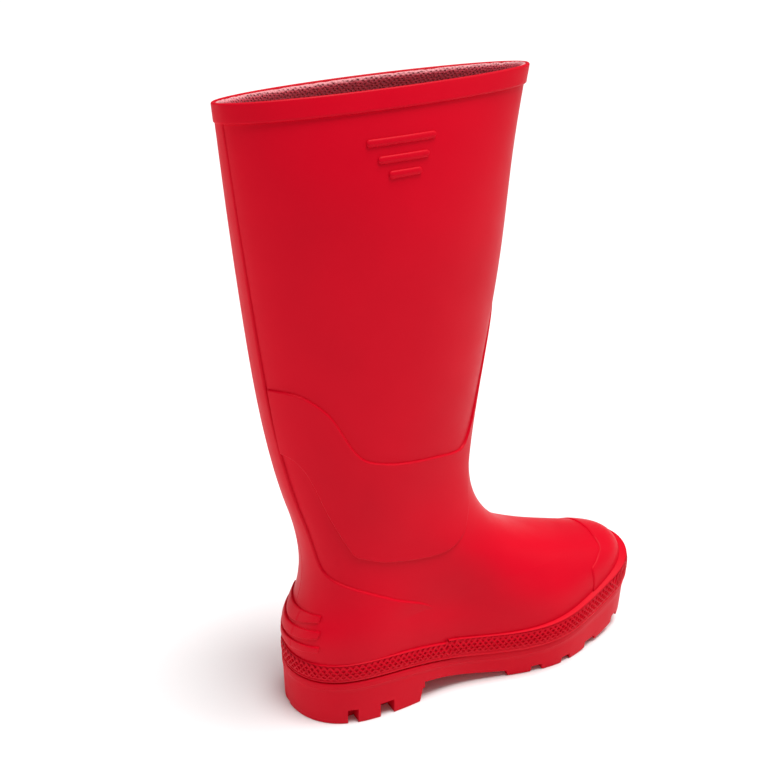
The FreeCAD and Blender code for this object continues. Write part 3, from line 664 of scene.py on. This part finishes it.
def knit_cloth(name, colour, pale):
    material = bpy.data.materials.new(name)
    material.use_nodes = True
    nodes, link = material.node_tree.nodes, material.node_tree.links.new
    new = nodes.new
    shader, place = nodes["Principled BSDF"], new("ShaderNodeUVMap")
    place.uv_map = "cloth"
    turn, eyelet, hole_depth_and_shade = new("ShaderNodeMapping"), new("ShaderNodeTexVoronoi"), new("ShaderNodeMapRange")
    turn.inputs["Rotation"].default_value[2] = math.radians(38)
    turn.inputs["Scale"].default_value = (620.0, 540.0, 1.0)
    eyelet.voronoi_dimensions = "2D"
    eyelet.inputs["Scale"].default_value, eyelet.inputs["Randomness"].default_value = 1.0, 0.4
    hole_depth_and_shade.inputs["From Min"].default_value, hole_depth_and_shade.inputs["From Max"].default_value = 0.08, 0.42
    link(place.outputs["UV"], turn.inputs["Vector"])
    link(turn.outputs["Vector"], eyelet.inputs["Vector"])
    link(eyelet.outputs["Distance"], hole_depth_and_shade.inputs["Value"])
    shade, yarn, worn = new("ShaderNodeMix"), new("ShaderNodeTexNoise"), new("ShaderNodeMix")
    shade.data_type = worn.data_type = "RGBA"
    yarn.inputs["Scale"].default_value, yarn.inputs["Detail"].default_value = 900.0, 4.0
    # Painted shade: the eyelet holes are coloured 0.6 times the cloth colour to stand for the shade inside them.
    # The same eyelet mask also drives the bump.
    shade.inputs["A"].default_value = tuple(c * 0.6 for c in colour[:3]) + (1,)
    shade.inputs["B"].default_value = colour
    link(hole_depth_and_shade.outputs["Result"], shade.inputs["Factor"])
    split_uv, edge = new("ShaderNodeSeparateXYZ"), new("ShaderNodeMapRange")
    link(place.outputs["UV"], split_uv.inputs["Vector"])
    link(split_uv.outputs["Y"], edge.inputs["Value"])
    edge.inputs["From Min"].default_value, edge.inputs["From Max"].default_value = -0.0024, -0.0010
    link(edge.outputs["Result"], worn.inputs["Factor"])
    link(shade.outputs["Result"], worn.inputs["A"])
    worn.inputs["B"].default_value = pale
    link(worn.outputs["Result"], shader.inputs["Base Color"])
    bump, loft = new("ShaderNodeBump"), new("ShaderNodeMath")
    link(place.outputs["UV"], yarn.inputs["Vector"])
    link(hole_depth_and_shade.outputs["Result"], loft.inputs[0])
    link(yarn.outputs["Fac"], loft.inputs[1])
    link(loft.outputs["Value"], bump.inputs["Height"])
    bump.inputs["Strength"].default_value, bump.inputs["Distance"].default_value = 0.9, 0.0006
    link(bump.outputs["Normal"], shader.inputs["Normal"])
    shader.inputs["Roughness"].default_value = 0.92
    shader.inputs["Sheen Weight"].default_value = 0.25
    return material


knit = knit_cloth("red_eyelet_knit", (0.88, 0.085, 0.13, 1), (0.90, 0.36, 0.38, 1))
ragged = np.random.default_rng(4).normal(0.0, 1.0, 512)
ragged = np.convolve(np.concatenate((ragged, ragged)), (0.3, 0.5, 0.3), "same")[:512][::2]
SOCK_FACE, SOCK_BACK, SOCK_FOOT = -WALL - 1.12, -WALL - 0.1, 512.0
sock = [(3.6, -1.0), (1.2, -1.0), (0.55, -1.35), (0.5, -1.9), (0.9, -2.5), (1.8, -3.0), (3.0, SOCK_FACE)]
depths = np.concatenate(([a for a, _ in sock], np.linspace(4.5, SOCK_FOOT, 120), np.linspace(SOCK_FOOT, 5.0, 60)))
offs = np.concatenate(([b for _, b in sock], np.full(120, SOCK_FACE), np.full(60, SOCK_BACK)))
fray = np.clip(1 - np.abs(depths - 0.8) / 1.6, 0, 1)[:, None] * ragged[None] * 0.34
v = np.clip(1.0 - (depths[:, None] + fray) / LEG_RISE, 0.004, 0.999)
net = skin(around[None], v, offs[:, None])
TOP_GIRTH = 0.400                                     # metres of cloth round the leg; the uv runs in metres
cloth_uv = np.stack((around[None] * TOP_GIRTH + 0 * v, -depths[:, None] / 1000 + 0 * v), -1)
fit_out(moulding("knit_sock", net, ring=True, uv=cloth_uv), knit, "lining_knit", "knit_lining")

# ---- Sole of the sock -----------------------------------------------------------------------------
# A flat piece of the same knit is sewn in to close the bottom of the sock. It lies on the outsole,
# and its rim is bonded there while the rubber is moulded.


def insole(name, inset, base, thick, dish):
    """Flat piece cut to the inside of the sole, following the feather, with a soft edge and a dished top."""
    turn, rings = np.linspace(0.0, 1.0, 181)[:-1], []
    for back, f in ((1.0, 0.0), (0.3, 0.0), (0.0, 0.35), (0.0, 0.65), (0.35, 0.94), (1.2, 1.0), (3.5, 1.0)):
        xy = sole_edge(turn, inset + back)[0]
        z = feather(np.clip(xy[:, 0] / SOLE_LENGTH, 0, 1)) + base + thick * f
        rings.append(np.concatenate((xy, z[:, None]), -1))
    below = [rings[0] * (1.0, narrow, 1.0) for narrow in (0.12, 0.6, 0.97)]
    above = [rings[-1] * (1.0, narrow, 1.0) - (0.0, 0.0, dish * (1 - narrow)) for narrow in (0.85, 0.6, 0.35, 0.12)]
    loops = np.stack(below + rings + above)
    cloth = np.stack((loops[..., 0] / 1000, loops[..., 1] / 1000 - 0.25), -1)
    return moulding(name, loops, ring=True, crease=60.0, uv=cloth)


fit_out(insole("sock_sole", 8.6, 0.05, 1.0, 0.0), knit, "lining_knit", "lining_sole")

# ---- Footbed ------------------------------------------------------------------------------------
# A loose footbed of foam faced with a brushed red cloth lies in the boot. It is die-cut to the inside
# of the sole, a little dished under the foot, and lifts out by its heel end.
brushed = knit_cloth("brushed_footbed_cloth", (0.26, 0.02, 0.035, 1), (0.26, 0.02, 0.035, 1))
footbed = insole("footbed", 10.6, 1.55, 5.0, 0.9)
fit_out(footbed, brushed, "footbed_foam", "footbed", body="footbed")

# ---- Floor, light and camera -----------------------------------------------------------------------
# The boot stands on a plain white sweep under large soft lights, seen from above and from behind its
# outer side.
bpy.ops.mesh.primitive_plane_add(size=90.0, location=(0.0, 0.0, -0.0002))
floor = bpy.context.object
floor.name = "floor"
paper = bpy.data.materials.new("white_paper")
paper.use_nodes = True
paper.node_tree.nodes["Principled BSDF"].inputs["Base Color"].default_value = (0.90, 0.90, 0.90, 1)
paper.node_tree.nodes["Principled BSDF"].inputs["Roughness"].default_value = 0.85
floor.data.materials.append(paper)

world = bpy.context.scene.world or bpy.data.worlds.new("studio")
bpy.context.scene.world = world
world.use_nodes = True
world.node_tree.nodes["Background"].inputs["Color"].default_value = (1.0, 1.0, 1.0, 1)
world.node_tree.nodes["Background"].inputs["Strength"].default_value = 0.28


def softbox(name, place, aim, size, power):
    lamp = bpy.data.lights.new(name, "AREA")
    lamp.shape, lamp.size, lamp.energy = "DISK", size, power
    box = bpy.data.objects.new(name, lamp)
    bpy.context.collection.objects.link(box)
    box.location = place
    box.rotation_euler = (mathutils.Vector(aim) - mathutils.Vector(place)).to_track_quat("-Z", "Y").to_euler()


softbox("left", (-1.4, 0.5, 0.45), (0.0, 0.0, 0.1), 0.5, 4.5)
softbox("toe_side", (1.3, -0.6, 1.3), (0.1, 0.0, 0.05), 0.7, 5.0)
ceiling = bpy.data.lights.new("ceiling", "SUN")
ceiling.energy, ceiling.angle = 3.3, math.radians(30)
sky = bpy.data.objects.new("ceiling", ceiling)
bpy.context.collection.objects.link(sky)
sky.rotation_euler = (math.radians(8), math.radians(10), 0.0)

AIM, AZIMUTH, ELEVATION, DISTANCE = (-0.02789, 0.00444, 0.190), math.radians(-27.0), math.radians(25.8), 0.6535
lens = bpy.data.cameras.new("camera")
lens.lens, lens.sensor_width, lens.shift_x, lens.shift_y = 47.06, 36.0, -0.0455, 0.0583
camera = bpy.data.objects.new("camera", lens)
bpy.context.collection.objects.link(camera)
back = mathutils.Vector((math.sin(AZIMUTH) * math.cos(ELEVATION), -math.cos(AZIMUTH) * math.cos(ELEVATION),
                         math.sin(ELEVATION)))
camera.location = mathutils.Vector(AIM) + back * DISTANCE
level = mathutils.Quaternion((0, 0, 1), math.radians(0.4))
camera.rotation_euler = (back.to_track_quat("Z", "Y") @ level).to_euler()
bpy.context.scene.camera = camera
bpy.context.scene.view_settings.view_transform = "Standard"
